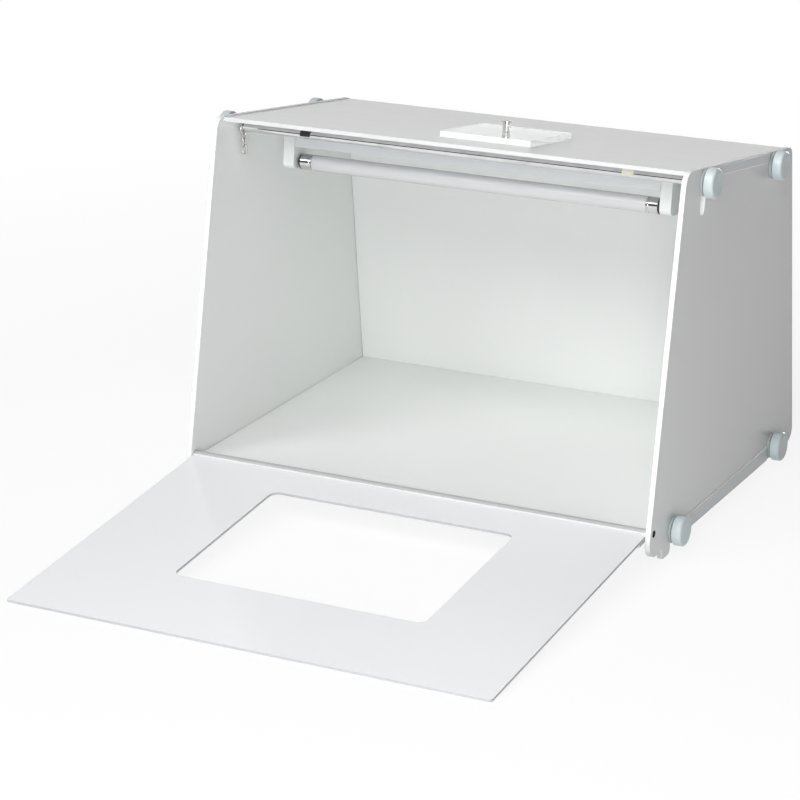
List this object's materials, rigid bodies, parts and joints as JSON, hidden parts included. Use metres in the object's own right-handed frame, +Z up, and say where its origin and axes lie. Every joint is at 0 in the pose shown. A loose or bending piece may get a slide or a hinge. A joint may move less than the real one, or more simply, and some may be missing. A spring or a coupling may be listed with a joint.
{
  "type": "table-top photo light box",
  "caption": "Open-fronted white sheet-plastic photo box with leaning sides, fold-down front flap with a window, lamp batten under the top and clamp knobs on tie rods.",
  "frame": {"origin": "centre of the whole part's box at table height, with the front flap down", "axes": "+Z up, the opening and the flap face -Y, +X to the right seen from the front"},
  "size_m": [0.53, 0.7068, 0.3684],
  "materials": {
    "white_sheet": "gloss",
    "flap_sheet": "high gloss",
    "white_profile": "satin",
    "grey_strip": "satin",
    "knob_plastic": "satin",
    "bright_metal": "polished",
    "steel": "plain",
    "lamp_body": "satin",
    "tube_glass": "phosphor-coated glass",
    "black_plastic": "satin",
    "cream_plastic": "satin",
    "clear_acrylic": "clear",
    "board_green": "solder mask",
    "foot_rubber": "matte"
  },
  "bodies": {
    "box": {"left_side_panel": "white_sheet", "right_side_panel": "white_sheet", "top_panel": "white_sheet", "top_rail_left": "white_profile", "top_rail_right": "white_profile", "back_panel": "white_sheet", "floor_panel": "white_sheet", "left_top_strip": "grey_strip", "left_bottom_strip": "grey_strip", "right_top_strip": "grey_strip", "right_bottom_strip": "grey_strip", "top_front_rod": "bright_metal", "top_rear_rod": "bright_metal", "bottom_front_rod": "bright_metal", "bottom_rear_rod": "bright_metal", "rod_collar_left_front": "grey_strip", "rod_collar_right_front": "grey_strip", "rod_collar_left_rear": "grey_strip", "rod_collar_right_rear": "grey_strip", "hinge_rod": "steel", "lamp_housing": "lamp_body", "lamp_bracket_left": "steel", "lamp_bracket_right": "steel", "lamp_screw_left": "steel", "lamp_screw_right": "steel", "lamp_holder_left": "lamp_body", "lamp_holder_right": "lamp_body", "lamp_end_screw": "steel", "lamp_inlet": "black_plastic", "ballast_board": "board_green", "ballast_choke": "black_plastic", "thumb_screw_nut": "steel", "rear_foot_left": "foot_rubber", "rear_foot_right": "foot_rubber"},
    "flap": {"front_flap": "flap_sheet", "flap_hinge_profile": "grey_strip"},
    "knob_left_top_front": {"knob_left_top_front": "knob_plastic"},
    "knob_left_top_rear": {"knob_left_top_rear": "knob_plastic"},
    "knob_left_bottom_front": {"knob_left_bottom_front": "knob_plastic"},
    "knob_left_bottom_rear": {"knob_left_bottom_rear": "knob_plastic"},
    "knob_right_top_front": {"knob_right_top_front": "knob_plastic"},
    "knob_right_top_rear": {"knob_right_top_rear": "knob_plastic"},
    "knob_right_bottom_front": {"knob_right_bottom_front": "knob_plastic"},
    "knob_right_bottom_rear": {"knob_right_bottom_rear": "knob_plastic"},
    "tube": {"lamp_tube": "tube_glass", "tube_cap_left": "bright_metal", "tube_cap_right": "bright_metal"},
    "cover": {"cover_plate": "clear_acrylic"},
    "screw": {"thumb_screw": "bright_metal"},
    "black_clip": {"black_clip": "black_plastic"},
    "white_clip": {"white_clip": "cream_plastic"},
    "ring": {"chain_ring": "bright_metal"},
    "link_1": {"chain_link_1": "bright_metal"},
    "link_2": {"chain_link_2": "bright_metal"},
    "link_3": {"chain_link_3": "bright_metal"}
  },
  "joints": [
    {"name": "flap_hinge", "type": "hinge", "parent": "box", "child": "flap", "pos_m": [0, -0.01562, 0.0327], "axis": [-1, 0, 0], "range_deg": [0, 107.3]},
    {"name": "knob_left_top_front_turn", "type": "hinge", "parent": "box", "child": "knob_left_top_front", "pos_m": [-0.251, 0.08883, 0.34646], "axis": [-1, 0, 0], "continuous": true},
    {"name": "knob_left_top_rear_turn", "type": "hinge", "parent": "box", "child": "knob_left_top_rear", "pos_m": [-0.251, 0.2695, 0.32075], "axis": [-1, 0, 0], "continuous": true},
    {"name": "knob_left_bottom_front_turn", "type": "hinge", "parent": "box", "child": "knob_left_bottom_front", "pos_m": [-0.251, 0.03038, 0.0223], "axis": [-1, 0, 0], "continuous": true},
    {"name": "knob_left_bottom_rear_turn", "type": "hinge", "parent": "box", "child": "knob_left_bottom_rear", "pos_m": [-0.251, 0.29038, 0.0223], "axis": [-1, 0, 0], "continuous": true},
    {"name": "knob_right_top_front_turn", "type": "hinge", "parent": "box", "child": "knob_right_top_front", "pos_m": [0.251, 0.08883, 0.34646], "axis": [1, 0, 0], "continuous": true},
    {"name": "knob_right_top_rear_turn", "type": "hinge", "parent": "box", "child": "knob_right_top_rear", "pos_m": [0.251, 0.2695, 0.32075], "axis": [1, 0, 0], "continuous": true},
    {"name": "knob_right_bottom_front_turn", "type": "hinge", "parent": "box", "child": "knob_right_bottom_front", "pos_m": [0.251, 0.03038, 0.0223], "axis": [1, 0, 0], "continuous": true},
    {"name": "knob_right_bottom_rear_turn", "type": "hinge", "parent": "box", "child": "knob_right_bottom_rear", "pos_m": [0.251, 0.29038, 0.0223], "axis": [1, 0, 0], "continuous": true},
    {"name": "tube_twist", "type": "hinge", "parent": "box", "child": "tube", "pos_m": [0.0042, 0.11431, 0.31112], "axis": [1, 0, 0], "range_deg": [0, 90]},
    {"name": "cover_swivel", "type": "hinge", "parent": "box", "child": "cover", "pos_m": [0.0205, 0.14634, 0.35383], "axis": [0, 0.1409, 0.99], "continuous": true},
    {"name": "thumb_screw_turn", "type": "hinge", "parent": "cover", "child": "screw", "pos_m": [0.0205, 0.14681, 0.3571], "axis": [0, 0.1409, 0.99], "continuous": true},
    {"name": "black_clip_slide", "type": "slide", "parent": "box", "child": "black_clip", "axis": [1, 0, 0], "range_m": [-0.05, 0.165]},
    {"name": "white_clip_slide", "type": "slide", "parent": "box", "child": "white_clip", "axis": [1, 0, 0], "range_m": [-0.165, 0.055]},
    {"name": "ring_swing", "type": "hinge", "parent": "box", "child": "ring", "pos_m": [-0.2417, 0.08883, 0.34646], "axis": [1, 0, 0], "range_deg": [-45, 45]},
    {"name": "link_1_swing", "type": "hinge", "parent": "ring", "child": "link_1", "pos_m": [-0.2417, 0.08883, 0.33916], "axis": [0, -1, 0], "range_deg": [0, 35]},
    {"name": "link_2_swing", "type": "hinge", "parent": "link_1", "child": "link_2", "pos_m": [-0.2417, 0.08883, 0.33266], "axis": [1, 0, 0], "range_deg": [-35, 35]},
    {"name": "link_3_swing", "type": "hinge", "parent": "link_2", "child": "link_3", "pos_m": [-0.2417, 0.08883, 0.32616], "axis": [0, -1, 0], "range_deg": [0, 35]}
  ]
}
